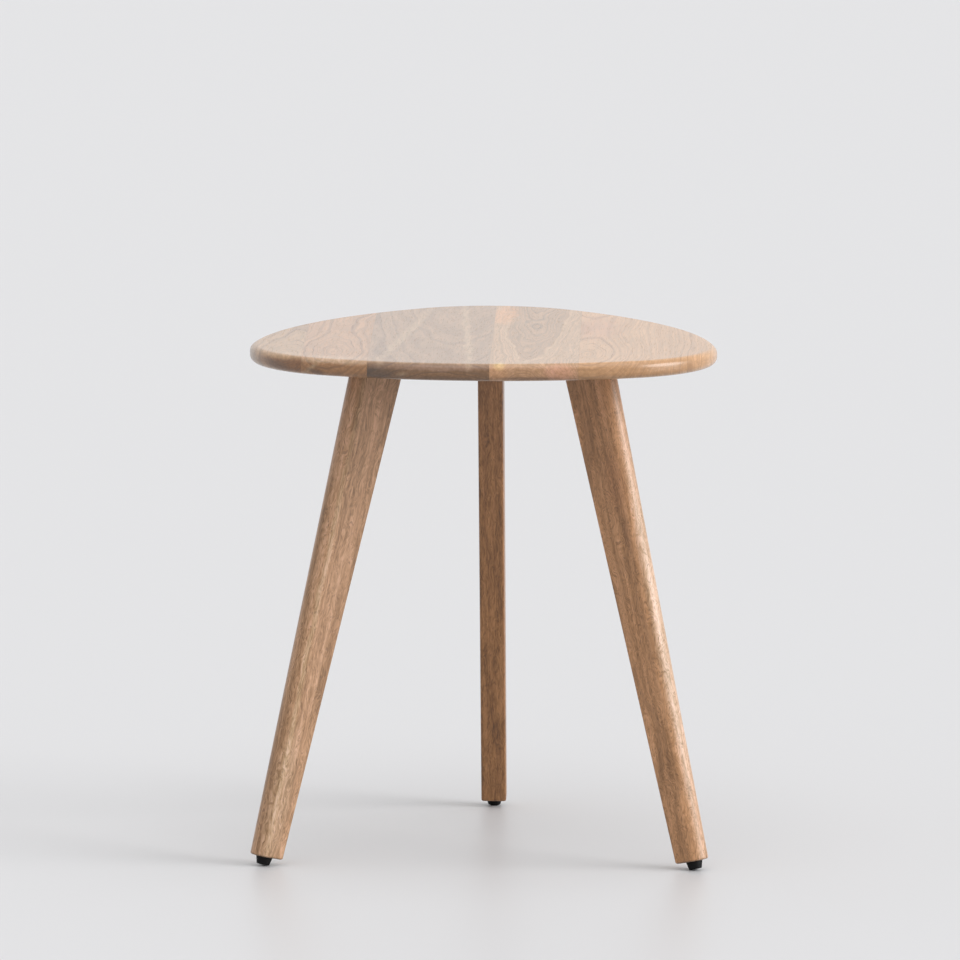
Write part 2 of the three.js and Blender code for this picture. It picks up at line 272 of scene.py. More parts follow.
def growth_ring_effect():
    """Rings round a tree's pith, which runs along Z through the origin and may bow."""
    inputs = {
        "Vector": zeros, "Ring Width": 0.005, "Bow": 0.0, "Wander": 0.004,
        "Wander Width": 0.05, "Wander Length": 0.2, "Waver": 1.6, "Seed": 0.0,
    }
    outputs = {"Late Wood": 0.0, "Ring Tone": 0.0, "Distance": 0.0, "Bent": zeros}
    tree, given, result = effect("Growth rings", inputs, outputs)
    size = given["Wander Width"], given["Wander Length"]
    sway = stretched_noise(tree, given["Vector"], *size, given["Seed"])
    bent = swayed(tree, given["Vector"], sway, given["Wander"])
    axes = node(tree, "ShaderNodeSeparateXYZ", {0: bent}).outputs
    bow = times(tree, times(tree, axes[2], axes[2]), given["Bow"])
    depth = plus(tree, axes[1], bow)
    distance = vector_maths(tree, "LENGTH", vector_of(tree, axes[0], depth))["Value"]
    waver = stretched_noise(tree, bent, width=0.03, length=0.12, seed=given["Seed"])[0]
    years = maths(tree, "DIVIDE", distance, given["Ring Width"])
    inputs = {"W": years, "Scale": 0.35, "Detail": 1.0}
    spacing = node(tree, "ShaderNodeTexNoise", inputs, noise_dimensions="1D").outputs[0]
    years = plus(tree, years, times(tree, spacing, 2.5))
    ring = plus(tree, years, times(tree, waver, given["Waver"]))
    share = maths(tree, "FRACT", ring)
    band = times(tree, smooth_step(tree, share, 0.1, 0.85), smooth_step(tree, share, 1.0, 0.9))
    line = times(tree, smooth_step(tree, share, 0.68, 0.84), smooth_step(tree, share, 1.0, 0.92))
    year = maths(tree, "FLOOR", ring)
    tone = node(tree, "ShaderNodeTexWhiteNoise", {"W": year}, noise_dimensions="1D").outputs["Value"]
    fading = stretched_noise(tree, bent, width=0.02, length=0.08, seed=given["Seed"])[0]
    fading = smooth_step(tree, fading, 0.25, 0.6)
    strength = times(tree, maths(tree, "MULTIPLY_ADD", tone, 0.8, 0.2), fading)
    late = maths(tree, "MULTIPLY_ADD", band, 0.5, times(tree, line, 0.5))
    late = times(tree, late, strength)
    inputs = {"W": ring, "Scale": 1.7, "Detail": 3.0, "Roughness": 0.7}
    uneven = node(tree, "ShaderNodeTexNoise", inputs, noise_dimensions="1D").outputs[0]
    broad = times(tree, smooth_step(tree, uneven, 0.42, 0.72), 0.55)
    late = maths(tree, "MULTIPLY_ADD", late, 0.6, broad)
    feed(tree, result, {"Late Wood": late, "Ring Tone": tone, "Distance": distance, "Bent": bent})
    return tree


def fibre_effect():
    """Broad streaks and fine fibres along Z, and open pores: dashes along the grain, dots on a cut end."""
    inputs = {
        "Vector": zeros, "Streak Width": 0.009, "Streak Length": 0.12, "Fibre Width": 0.0014,
        "Fibre Length": 0.02, "Pore Width": 0.0011, "Pore Length": 0.008, "Pore Share": 0.5, "Curl": 0.001,
        "Seed": 0.0,
    }
    outputs = {"Streak": 0.0, "Fibre": 0.0, "Pore": 0.0}
    tree, given, result = effect("Fibres and pores", inputs, outputs)
    size = given["Streak Width"], given["Streak Length"]
    streak = stretched_noise(tree, given["Vector"], *size, given["Seed"], detail=4.0, distortion=0.6)
    curl = stretched_noise(tree, given["Vector"], 0.010, 0.026, given["Seed"], detail=1.0)
    curled = swayed(tree, given["Vector"], curl, given["Curl"])
    size = given["Fibre Width"], given["Fibre Length"]
    fibre = stretched_noise(tree, curled, *size, given["Seed"], detail=3.0)
    cell = vector_of(tree, given["Pore Width"], given["Pore Width"], given["Pore Length"])
    place = vector_maths(tree, "DIVIDE", curled, cell)[0]
    cells = node(tree, "ShaderNodeTexVoronoi", {"Vector": place, "Scale": 1.0, "Randomness": 1.0}).outputs
    lottery = node(tree, "ShaderNodeSeparateXYZ", {0: cells["Color"]}).outputs[0]
    chosen = maths(tree, "LESS_THAN", lottery, given["Pore Share"])
    hollow = smooth_step(tree, cells["Distance"], 0.46, 0.2)
    feed(tree, result, {
        "Streak": smooth_step(tree, streak[0], 0.3, 0.7), "Fibre": smooth_step(tree, fibre[0], 0.3, 0.7),
        "Pore": times(tree, chosen, hollow),
    })
    return tree


def patch_effect():
    """A patch or a streak of another tone, its half sizes along its own turned axes, with a wavering rim."""
    inputs = {
        "Vector": zeros, "Centre": zeros, "Turn": zeros, "Half Sizes": (0.01, 0.01, 0.01),
        "Softness": 0.4, "Waver": 0.002, "Waver Size": 0.02, "Seed": 0.0,
    }
    tree, given, result = effect("Patch of tone", inputs, {"Mask": 0.0})
    size = given["Waver Size"]
    noise = stretched_noise(tree, given["Vector"], size, size, given["Seed"], detail=4.0)
    place = swayed(tree, given["Vector"], noise, given["Waver"])
    inputs = {
        "Vector": place, "Location": given["Centre"], "Rotation": given["Turn"],
        "Scale": given["Half Sizes"],
    }
    own = node(tree, "ShaderNodeMapping", inputs, vector_type="TEXTURE").outputs[0]
    off = vector_maths(tree, "LENGTH", own)["Value"]
    outside = plus(tree, 1.0, given["Softness"])
    inside = minus(tree, 1.0, given["Softness"])
    tree.links.new(smooth_step(tree, off, outside, inside), result["Mask"])
    return tree


def end_grain_effect():
    """1 where the surface cuts across the grain, 0 where it runs along it."""
    inputs = {"Normal": (0.0, 0.0, 1.0), "Grain": (0.0, 0.0, 1.0)}
    tree, given, result = effect("End grain", inputs, {"Mask": 0.0})
    across = vector_maths(tree, "DOT_PRODUCT", given["Normal"], given["Grain"])["Value"]
    facing = maths(tree, "ABSOLUTE", across)
    tree.links.new(smooth_step(tree, facing, 0.2, 0.75), result["Mask"])
    return tree


def glue_line_effect():
    """A hairline where two boards meet, its planes so far along a direction."""
    inputs = {"Vector": zeros, "Direction": (1.0, 0.0, 0.0), "Low": -1.0, "High": 1.0, "Width": 0.0003}
    tree, given, result = effect("Glue line", inputs, {"Mask": 0.0})
    place = vector_maths(tree, "DOT_PRODUCT", given["Vector"], given["Direction"])["Value"]
    from_low = minus(tree, place, given["Low"])
    near = maths(tree, "MINIMUM", from_low, minus(tree, given["High"], place))
    tree.links.new(smooth_step(tree, near, given["Width"], 0.0), result["Mask"])
    return tree


growth_rings = growth_ring_effect()
fibres = fibre_effect()
patch_of_tone = patch_effect()
end_grain = end_grain_effect()
glue_line = glue_line_effect()
glue_tone = "5a4433"
glue_share = 0.35
heart_rim_width = 0.0014
heart_rim_share = 0.4
fibre_relief = 0.15  # of the depth of a pore
late_wood_relief = 0.12


def paint(code):
    """A colour written as six hexadecimal digits, as the linear values that a shader takes."""
    parts = [int(code[i : i + 2], 16) / 255 for i in (0, 2, 4)]
    linear = [part / 12.92 if part <= 0.04045 else ((part + 0.055) / 1.055) ** 2.4 for part in parts]
    return (*linear, 1.0)


def new_finish(name):
    """A material, with its tree and its shader."""
    material = bpy.data.materials.new(name)
    material.use_nodes = True
    return material, material.node_tree, material.node_tree.nodes["Principled BSDF"]


def applied(tree, group, inputs, sizes):
    """An effect's outputs in a material, with those of the sizes that it has inputs for."""
    own = {label: value for label, value in sizes.items() if label in group.interface.items_tree}
    return node(tree, "ShaderNodeGroup", {**inputs, **own}, node_tree=group).outputs


def wood(name, pith, turn, seed, sizes, tones, patches=(), seams=None):
    """Satin-oiled wood cut from a trunk whose pith passes through a point and lies at a turn."""
    material, tree, shader = new_finish(name)
    place = node(tree, "ShaderNodeTexCoord").outputs
    inputs = {"Vector": place["Object"], "Location": pith, "Rotation": turn}
    trunk = node(tree, "ShaderNodeMapping", inputs, vector_type="TEXTURE").outputs[0]
    rings = applied(tree, growth_rings, {"Vector": trunk, "Seed": seed}, sizes)
    fibre = applied(tree, fibres, {"Vector": rings["Bent"], "Seed": seed}, sizes)

    late = times(tree, rings["Late Wood"], maths(tree, "MULTIPLY_ADD", fibre["Fibre"], 0.8, 0.5))
    colour = mixed(tree, late, paint(tones["early"]), paint(tones["late"]))
    if "heart" in tones:
        rim = sizes["Heart Radius"]
        heart = smooth_step(tree, rings["Distance"], rim + 0.0005, rim - 0.0015)
        heart_colour = mixed(tree, late, paint(tones["heart"]), paint(tones["heart_late"]))
        colour = mixed(tree, heart, colour, heart_colour)
        off_rim = maths(tree, "ABSOLUTE", minus(tree, rings["Distance"], rim))
        near_rim = smooth_step(tree, off_rim, heart_rim_width, 0.0002)
        rim_share = times(tree, near_rim, heart_rim_share)
        colour = mixed(tree, rim_share, colour, paint(tones["rim"]))
    grain = Euler(turn).to_matrix() @ Vector((0, 0, 1))
    cut = applied(tree, end_grain, {"Normal": place["Normal"]}, {"Grain": tuple(grain)})[0]
    end_colour = mixed(tree, late, paint(tones["end"]), paint(tones["end_late"]))
    colour = mixed(tree, cut, colour, end_colour)
    for number, patch in enumerate(patches):
        inputs = {"Vector": place["Object"], "Seed": seed + number}
        mask = applied(tree, patch_of_tone, inputs, patch["sizes"])[0]
        colour = mixed(tree, times(tree, mask, patch["share"]), colour, paint(patch["tone"]))
    value = plus(tree, swing(tree, fibre["Streak"], tones["streak"]), 1.0)
    value = plus(tree, value, swing(tree, rings["Ring Tone"], tones["ring"]))
    value = plus(tree, value, swing(tree, fibre["Fibre"], tones["fibre"]))
    # Red changes least and blue most, so that light streaks are paler and dark ones warmer.
    warm = {0: maths(tree, "POWER", value, 0.85), 1: value, 2: maths(tree, "POWER", value, 1.45)}
    shade = node(tree, "ShaderNodeCombineColor", warm).outputs[0]
    colour = mixed(tree, 1.0, colour, shade, "MULTIPLY")
    pore_share = times(tree, fibre["Pore"], tones["pore_share"])
    colour = mixed(tree, pore_share, colour, paint(tones["pore"]))
    if seams:
        line = applied(tree, glue_line, {"Vector": place["Object"]}, seams)[0]
        colour = mixed(tree, times(tree, line, glue_share), colour, paint(glue_tone))

    gloss = plus(tree, swing(tree, fibre["Fibre"], 0.05), tones["gloss"])
    gloss = plus(tree, gloss, times(tree, fibre["Pore"], 0.15))
    height = minus(tree, times(tree, fibre["Fibre"], fibre_relief), fibre["Pore"])
    height = minus(tree, height, times(tree, rings["Late Wood"], late_wood_relief))
    inputs = {"Height": height, "Distance": tones["relief"], "Strength": 0.5}
    bumps = node(tree, "ShaderNodeBump", inputs).outputs[0]
    feed(tree, shader.inputs, {
        "Base Color": colour, "Roughness": gloss, "Normal": bumps, "Coat Weight": tones["coat"],
        "Coat Roughness": tones["coat_gloss"],
    })
    return material


along_boards = -quarter_turn  # turns a trunk from upright to front to back
board_sizes = {
    "Ring Width": 0.0045, "Wander": 0.004, "Wander Width": 0.05, "Wander Length": 0.16,
    "Streak Width": 0.012, "Streak Length": 0.14, "Fibre Width": 0.0026, "Fibre Length": 0.035,
    "Pore Width": 0.0009, "Pore Length": 0.03, "Pore Share": 0.5,
}
board_tones = {
    "streak": 0.12, "ring": 0.06, "fibre": 0.44, "pore_share": 0.2, "gloss": 0.33, "relief": 0.00003,
    "coat": 0.8, "coat_gloss": 0.26,
}


def spot(tone, share, centre, half_sizes, turn=zeros, softness=0.4, waver=0.002, waver_size=0.02):
    """A patch or a streak of another tone: wood figure, and in some uses painted highlight and shade. Its
    turn is in degrees.
    """
    sizes = {
        "Centre": centre, "Half Sizes": half_sizes, "Turn": tuple(math.radians(part) for part in turn),
        "Softness": softness, "Waver": waver, "Waver Size": waver_size,
    }
    return {"tone": tone, "share": share, "sizes": sizes}


aslant = (0, 0, -4.7)  # the lie of two long streaks in the third board
board_woods = [
    {
        "pith": (-0.188, 0.050, surface - 0.030), "tilt": 0.0, "seed": 3.0,
        "sizes": {"Bow": 0.6, "Ring Width": 0.005, "Waver": 2.0},
        "tones": dict(early="ba9269", late="7e5839", pore="5f4733", end="926136", end_late="6b4e35"),
        "patches": [
            spot("5c4029", 0.6, (-0.199, -0.165, 0.498), (0.015, 0.025, 0.0036), (0, 10, 0), 0.6),
            spot("c8a074", 0.5, (-0.190, -0.163, 0.5062), (0.026, 0.03, 0.0024), softness=0.6),
            spot("6e5036", 0.45, (-0.225, -0.100, 0.4985), (0.010, 0.06, 0.0080), softness=0.6),
        ],
    },
    {
        "pith": (-0.143, 0.055, surface - 0.028), "tilt": 0.0, "seed": 11.0,
        "sizes": {"Bow": 0.7, "Ring Width": 0.005, "Wander": 0.006, "Waver": 2.0},
        "tones": dict(early="c29268", late="825532", pore="684a35", end="ac7b4e", end_late="785434"),
        "patches": [
            spot("c4a680", 0.5, (-0.1635, -0.194, 0.4985), (0.009, 0.02, 0.0022), (0, -38, 0), 0.9, 0.003),
            spot("553b27", 0.6, (-0.158, -0.197, 0.4955), (0.008, 0.02, 0.0028), (0, 12, 0), 0.6),
            # Painted light: a pale band along the upper rounded arris of the front edge, where it catches
            # the light and the sky's reflection.
            spot("ecd4b8", 0.32, (-0.143, -0.203, 0.5062), (0.036, 0.03, 0.0026), softness=0.6),
        ],
    },
    {
        "pith": (-0.03, 0.0, surface - 0.11), "tilt": 3.0, "seed": 21.0,
        "sizes": {"Ring Width": 0.006, "Wander": 0.003},
        "tones": dict(early="b18c6b", late="826047", pore="5c4534", end="87613d", end_late="5a412d"),
        "patches": [
            spot("d0b08c", 0.42, (-0.081, -0.028, surface), (0.0045, 0.25, 0.006), aslant, 0.8, 0.005, 0.03),
            spot("7d604a", 0.22, (-0.074, -0.028, surface), (0.0018, 0.25, 0.006), aslant, 0.8, 0.005, 0.03),
            spot(
                "d0b08c", 0.48, (-0.019, -0.02, surface), (0.0035, 0.3, 0.006), (0, 0, 3), 0.5, 0.006, 0.025,
            ),
            spot("4f3f33", 0.6, (-0.101, -0.214, 0.4965), (0.020, 0.03, 0.0070), softness=0.5),
            spot("b08c78", 0.4, (-0.045, -0.228, 0.5035), (0.056, 0.03, 0.0022), softness=0.6),
            spot("c0a07e", 0.4, (-0.0725, -0.224, 0.4965), (0.0045, 0.02, 0.0016), (0, -12, 0), 0.9),
        ],
    },
    {
        "pith": (0.047, 0.0, surface - 0.020), "tilt": 3.3, "seed": 33.0,
        "sizes": {
            "Ring Width": 0.0028, "Wander": 0.006, "Wander Width": 0.03, "Wander Length": 0.12,
            "Heart Radius": 0.0322,
        },
        "tones": dict(
            early="cda37a", late="886440", heart="bb9169", heart_late="745436", rim="d8b48c", pore="5f4530",
            end="bb8f68", end_late="845d40",
        ),
        "patches": [
            spot("dc9a60", 0.6, (0.013, 0.145, surface), (0.011, 0.07, 0.01), waver=0.006),
            spot("7d5f47", 0.6, (0.037, 0.091, surface), (0.003, 0.012, 0.004)),
            spot("e2bf7c", 0.6, (0.021, -0.230, 0.5065), (0.0048, 0.014, 0.0042), softness=0.6),
            spot("c48f62", 0.5, (0.016, -0.228, 0.498), (0.012, 0.03, 0.0075), softness=0.5),
            spot("cf9578", 0.5, (0.079, -0.222, 0.499), (0.014, 0.03, 0.0080), softness=0.5),
            spot("6e5038", 0.55, (0.049, -0.228, 0.4938), (0.027, 0.03, 0.0013), softness=0.6),
        ],
    },
    {
        "pith": (0.104, 0.045, surface - 0.030), "tilt": 0.0, "seed": 45.0,
        "sizes": {"Bow": 0.8, "Ring Width": 0.0045, "Wander": 0.003, "Waver": 2.0},
        "tones": dict(
            early="d3a475", late="996a3d", pore="6c4b31", end="ba8c60", end_late="98704a", fibre=0.32,
        ),
        "patches": [
            spot("b4745a", 0.36, (0.108, 0.045, surface), (0.020, 0.075, 0.012), softness=0.8, waver=0.008),
        ],
    },
]
drill_low, drill_high = underside - drill_overshoot, underside + insert_hole_depth
insert_rods = [
    upright_rod(f"{corner}_top_insert_{number}", drill_low, drill_high, insert_hole_radius)
    for corner in corner_turns for number in range(1, 5)
]

roundover = quarter_round(top_roundover, roundover_chords)
edge_profile = [
    (top_roundover + flat_ring, underside),
    *((inset, underside + rise) for rise, inset in roundover),
    *((inset, surface - drop) for inset, drop in roundover),
    (top_roundover + flat_ring, surface),
]
slab = skinned([[point + Vector((0, 0, z)) for point in top_outline(inset)] for inset, z in edge_profile])

across_seams = towards(seam_turn)
past_the_top = 1.0
axis_place = across_seams.dot(table_axis)
board_ends = [-past_the_top, *(place + axis_place for place in seam_places), past_the_top]
for number, board_wood in enumerate(board_woods, 1):
    low, high = board_ends[number - 1 : number + 1]
    board = slab.copy()
    for place, side in ((low, -1), (high, 1)):
        if abs(place) == past_the_top:
            continue
        whole = board.verts[:] + board.edges[:] + board.faces[:]
        cut = bmesh.ops.bisect_plane(
            board, geom=whole, dist=1e-7, plane_co=across_seams * place, plane_no=across_seams * side,
            clear_outer=True,
        )
        edges = [part for part in cut["geom_cut"] if isinstance(part, bmesh.types.BMEdge)]
        bmesh.ops.holes_fill(board, edges=edges, sides=0)
    turn = (along_boards + math.radians(board_wood["tilt"]), 0.0, 0.0)
    finish = wood(
        f"board {number} wood", board_wood["pith"], turn, board_wood["seed"],
        {**board_sizes, **board_wood["sizes"]}, {**board_tones, **board_wood["tones"]},
        board_wood["patches"], {"Direction": tuple(across_seams), "Low": low, "High": high},
    )
    piece = finished_piece(f"finished_board_{number}", board, finish)
    near_low, near_high = low - 2 * insert_hole_radius, high + 2 * insert_hole_radius
    bore(piece, [rod for rod in insert_rods if near_low < across_seams.dot(rod[0]) < near_high])
    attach(piece, "table")
    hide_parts(f"top_board_{number}")
slab.free()

# Each leg is one solid piece of the same wood, 25 mm thick, its grain along its outer edge. It stands in the
# upright plane through its corner. The outer edge is a full half round, the inner one is square with a small
# arris, and it narrows towards the floor. Its upper end is drilled for two screws, its foot for a glide.
leg_splay = math.radians(13)
leg_thickness = 0.025
leg_foot_width = 0.029
leg_top_width = 0.050
leg_arris = 0.002
bullnose_chords = 28
arris_chords = 5
foot_insert_length = 0.015
foot_insert_hole_radius = 0.0059
stud_hole_radius = 0.0042
stud_hole_depth = 0.026
screw_hole_radius = 0.0024
screw_length = 0.038
flat_strip = 0.0006  # beside a round, keeps its shading off the flat
leg_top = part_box("rear_leg")[1].z
foot_insert_middle = middle("rear_foot_insert") - table_axis
foot_axis = Vector((-math.sin(leg_splay), 0, math.cos(leg_splay)))  # up the leg, X outwards
end_middle = Vector((foot_insert_middle.y, 0, foot_insert_middle.z)) - foot_axis * foot_insert_length / 2
end_inward = Vector((-math.cos(leg_splay), 0, -math.sin(leg_splay)))
heel = end_middle - end_inward * leg_foot_width / 2
leg_taper = (leg_top_width - leg_foot_width) * math.cos(leg_splay) / (leg_top - heel.z)


def leg_section():
    """Points round the leg: the edge each belongs to, its depth from that edge and its place across."""
    half = leg_thickness / 2
    section = [("outer", half + flat_strip, -half)]
    for step in range(bullnose_chords + 1):
        turn = 2 * quarter_turn * step / bullnose_chords - quarter_turn
        section.append(("outer", half - half * math.cos(turn), half * math.sin(turn)))
    section.append(("outer", half + flat_strip, half))
    for side in (1, -1):
        corner = [("inner", leg_arris + flat_strip, side * half)]
        for inset, depth in quarter_round(leg_arris, arris_chords):
            corner.append(("inner", depth, side * (half - inset)))
        corner.append(("inner", 0.0, side * (half - leg_arris - flat_strip)))
        section += corner if side > 0 else corner[::-1]
    return section


def leg_ring(up, shrink=0.0):
    """The section square to the outer edge, so far up from the cut end; the rounded end draws it in."""
    ring = []
    centre = leg_foot_width / 2
    for edge, depth, across in leg_section():
        inward = depth if edge == "outer" else leg_foot_width + leg_taper * up - depth
        inward = centre + (inward - centre) * (1 - shrink / centre)
        across *= 1 - shrink / (leg_thickness / 2)
        ring.append(heel + foot_axis * up + end_inward * inward + Vector((0, across, 0)))
    return ring


def leg_top_ring():
    """The section where the leg is cut off level under its plate."""
    ring = []
    for edge, depth, across in leg_section():
        start = depth if edge == "outer" else leg_foot_width - depth
        slope = 0 if edge == "outer" else leg_taper
        rise = leg_top - heel.z + start * math.sin(leg_splay)
        up = rise / (math.cos(leg_splay) - slope * math.sin(leg_splay))
        ring.append(heel + foot_axis * up + end_inward * (start + slope * up) + Vector((0, across, 0)))
    return ring


leg_rings = [
    leg_ring(0.0, leg_arris + flat_strip),
    *(leg_ring(up, shrink) for up, shrink in quarter_round(leg_arris, arris_chords)),
    leg_ring(leg_arris + flat_strip), leg_top_ring(),
]

leg_sizes = {
    "Ring Width": 0.0075, "Wander": 0.005, "Wander Width": 0.04, "Wander Length": 0.22,
    "Streak Width": 0.006, "Streak Length": 0.07, "Fibre Width": 0.0014, "Fibre Length": 0.012,
    "Pore Width": 0.0012, "Pore Length": 0.0055, "Pore Share": 0.5, "Curl": 0.004,
}
leg_tones = {
    "early": "be8d5c", "late": "986c43", "pore": "5c3e27", "end": "9d7a5c", "end_late": "85634a",
    "streak": 0.80, "ring": 0.10, "fibre": 0.8, "pore_share": 0.45, "gloss": 0.45, "relief": 0.00010,
    "coat": 0.7, "coat_gloss": 0.42,
}
pith_height = 0.24  # up the leg from its cut end, of the places across and outwards that follow
# A stripe has a tone, a share, a place (from the outer edge, across, up the leg) and half sizes.
# Most of the front legs' stripes are painted: the pale ones for highlight, the dark ones for shade.
leg_woods = {
    # The rear leg's darker tones are partly darker wood and partly painted shade, for its place back under
    # the top.
    "rear": {
        "seed": 57.0, "pith": (0.05, 0.02), "sizes": {}, "tones": {"early": "9c6c3e", "late": "845730"},
        "stripes_and_painted_light": [],
    },
    "left": {
        "seed": 63.0, "pith": (-0.07, 0.04),
        "sizes": {"Streak Length": 0.14, "Fibre Length": 0.018, "Curl": 0.0055},
        "tones": {"early": "bc8f68", "streak": 0.66, "fibre": 0.78},
        "stripes_and_painted_light": [
            # Painted highlight: a pale stripe along the rounded outer edge, where the lamp's sheen falls.
            ("dcbc96", 0.45, (0.0095, 0.0105, 0.20), (0.0024, 0.004, 0.30)),
            # Painted shade: a dark stripe on the side of the rounded edge that turns away from the lamp.
            ("80603e", 0.30, (0.004, -0.005, 0.22), (0.005, 0.007, 0.30)),
            ("9a7350", 0.28, (0.022, 0.0125, 0.27), (0.012, 0.004, 0.12)),
            # Painted highlight: a pale patch low on the rounded edge, where the lamp's sheen falls.
            ("e0c0a2", 0.36, (0.012, 0.0115, 0.05), (0.010, 0.007, 0.07)),
        ],
    },
    "right": {
        "seed": 71.0, "pith": (0.08, -0.03), "sizes": {"Streak Length": 0.10, "Curl": 0.009},
        "tones": {"early": "c38e5f", "fibre": 0.72, "streak": 0.62},
        "stripes_and_painted_light": [
            # Painted highlight: two pale stripes along the outer rounded edge stand in for the lamp's broad
            # sheen and the pale reflection at its rim.
            ("dcc3ac", 0.24, (0.001, -0.001, 0.17), (0.0045, 0.0115, 0.28)),
            ("f0ddc4", 0.20, (0.001, 0.0, 0.24), (0.005, 0.012, 0.15)),
            # Painted shade: two dark spots high on the side whose edge faces away from the lamp, under the
            # top.
            ("a0683c", 0.35, (0.014, -0.0125, 0.378), (0.010, 0.005, 0.030)),
            ("8a5c38", 0.35, (0.012, -0.0120, 0.326), (0.004, 0.004, 0.020)),
        ],
    },
}
drill_low, drill_high = underside - screw_length, leg_top + drill_overshoot
for corner, corner_turn in corner_turns.items():
    leg_wood = leg_woods[corner]
    place = Matrix.Translation(table_axis) @ Matrix.Rotation(corner_turn, 4, "Z")
    shell = skinned(leg_rings)
    bmesh.ops.transform(shell, matrix=place, verts=shell.verts)
    across, out = leg_wood["pith"]
    pith = place @ (end_middle + foot_axis * pith_height + Vector((out, across, 0)))
    lie = (0, -math.degrees(leg_splay), math.degrees(corner_turn))
    stripes_and_painted_light = []
    for tone, share, (depth, across, up), half_sizes in leg_wood["stripes_and_painted_light"]:
        centre = place @ (heel + end_inward * depth + Vector((0, across, 0)) + foot_axis * up)
        stripes_and_painted_light.append(spot(tone, share, tuple(centre), half_sizes, lie, softness=0.6, waver_size=0.03))
    finish = wood(
        f"{corner} leg wood", tuple(pith), (0.0, -leg_splay, corner_turn), leg_wood["seed"],
        {**leg_sizes, **leg_wood["sizes"]}, {**leg_tones, **leg_wood["tones"]}, stripes_and_painted_light,
    )
    leg = finished_piece(f"{corner}_turned_leg", shell, finish)
    drill_start = place @ (end_middle - foot_axis * drill_overshoot)
    rods = [
        (drill_start, place @ (end_middle + foot_axis * foot_insert_length), foot_insert_hole_radius),
        (drill_start, place @ (end_middle + foot_axis * stud_hole_depth), stud_hole_radius),
    ]
    for number in (1, 2):
        rods.append(upright_rod(f"{corner}_leg_screw_{number}", drill_low, drill_high, screw_hole_radius))
    bore(leg, rods)
    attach(leg, "table")
    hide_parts(f"{corner}_leg")

# A leg plate is 3 mm sheet steel, punched with four holes for its bolts and two countersunk ones for its
# screws, its corners rounded, and powder coated black with a fine orange-peel surface. Two wood screws hold
# it to the leg's upper end.
plate_corner_radius = 0.007
plate_corner_chords = 10
plate_bevel = 0.0005
plate_inset = 0.001
plate_length = 0.0735
bolt_hole_radius = 0.0033
screw_head_radius = 0.0045
plate_thickness = underside - leg_top
plate_smooth_turn = math.radians(50)


def speckle_effect():
    """Fine bumps of moulded plastic, powder coat or cast metal, and a slower drift of tone."""
    inputs = {"Vector": zeros, "Size": 0.0005, "Drift": 0.01, "Seed": 0.0}
    tree, given, result = effect("Speckle", inputs, {"Grain": 0.0, "Drift": 0.0})
    size, drift = given["Size"], given["Drift"]
    grain = stretched_noise(tree, given["Vector"], size, size, given["Seed"])
    drift = stretched_noise(tree, given["Vector"], drift, drift, given["Seed"], detail=3.0)
    feed(tree, result, {"Grain": grain[0], "Drift": drift[0]})
    return tree


speckle = speckle_effect()


def coated(name, dark, light, metallic, gloss, size, drift, bump, shine=0.5):
    """A sprayed, moulded or plated finish: two tones, a roughness, and the depth of its fine bumps."""
    material, tree, shader = new_finish(name)
    place = node(tree, "ShaderNodeTexCoord").outputs["Object"]
    fine = applied(tree, speckle, {"Vector": place}, {"Size": size, "Drift": drift})
    share = smooth_step(tree, fine["Drift"], 0.35, 0.7)
    inputs = {"Height": fine["Grain"], "Distance": bump, "Strength": 0.6}
    bumps = node(tree, "ShaderNodeBump", inputs).outputs[0]
    feed(tree, shader.inputs, {
        "Base Color": mixed(tree, share, paint(dark), paint(light)),
        "Roughness": plus(tree, swing(tree, share, 0.12), gloss), "Normal": bumps,
        "Metallic": metallic, "Specular IOR Level": shine,
    })
    return material


black_coat = coated(
    "black powder coat", "18181a", "242426",
    metallic=0.0, gloss=0.42, size=0.0007, drift=0.012, bump=0.00006,
)
zinc = coated(
    "bright zinc", "a9adb2", "c9ccce",
    metallic=1.0, gloss=0.34, size=0.0004, drift=0.004, bump=0.00001,
)

top_reach = [point.x for point in leg_top_ring()]
plate_width = max(top_reach) - min(top_reach) - 2 * plate_inset


def plate_ring(inset, rise):
    """The plate's rounded outline, drawn in by an inset and so far above the plate's middle."""
    radius = plate_corner_radius - inset
    ring = []
    for quarter, (right, back) in enumerate(((1, 1), (-1, 1), (-1, -1), (1, -1))):
        x = right * (plate_width / 2 - plate_corner_radius)
        y = back * (plate_length / 2 - plate_corner_radius)
        start = quarter_turn * quarter
        ring += arc_points(Vector((x, y, rise)), radius, start, start + quarter_turn, plate_corner_chords)
    return ring


plate_half = plate_thickness / 2
plate_profile = [
    (plate_bevel, -plate_half), (0, plate_bevel - plate_half),
    (0, plate_half - plate_bevel), (plate_bevel, plate_half),
]
drill_low, drill_high = leg_top - drill_overshoot, underside + drill_overshoot
for corner, corner_turn in corner_turns.items():
    place = Matrix.Translation(middle(f"{corner}_leg_plate")) @ Matrix.Rotation(corner_turn, 4, "Z")
    rings = [[place @ point for point in plate_ring(inset, rise)] for inset, rise in plate_profile]
    plate = finished_piece(f"{corner}_steel_plate", skinned(rings), black_coat, plate_smooth_turn)
    holes = [(f"{corner}_plate_bolt_{number}", bolt_hole_radius) for number in range(1, 5)]
    holes += [(f"{corner}_leg_screw_{number}", screw_head_radius) for number in (1, 2)]
    bore(plate, [upright_rod(fixing, drill_low, drill_high, radius) for fixing, radius in holes])
    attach(plate, "table")
    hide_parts(f"{corner}_leg_plate")

# The screws, and the inserts in the top and the legs, keep their CAD meshes and are zinc plated.
for node_name, cad_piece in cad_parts.items():
    if any(word in node_name for word in ("insert", "leg_screw")):
        for material_slot in cad_piece.material_slots:
            material_slot.material = zinc

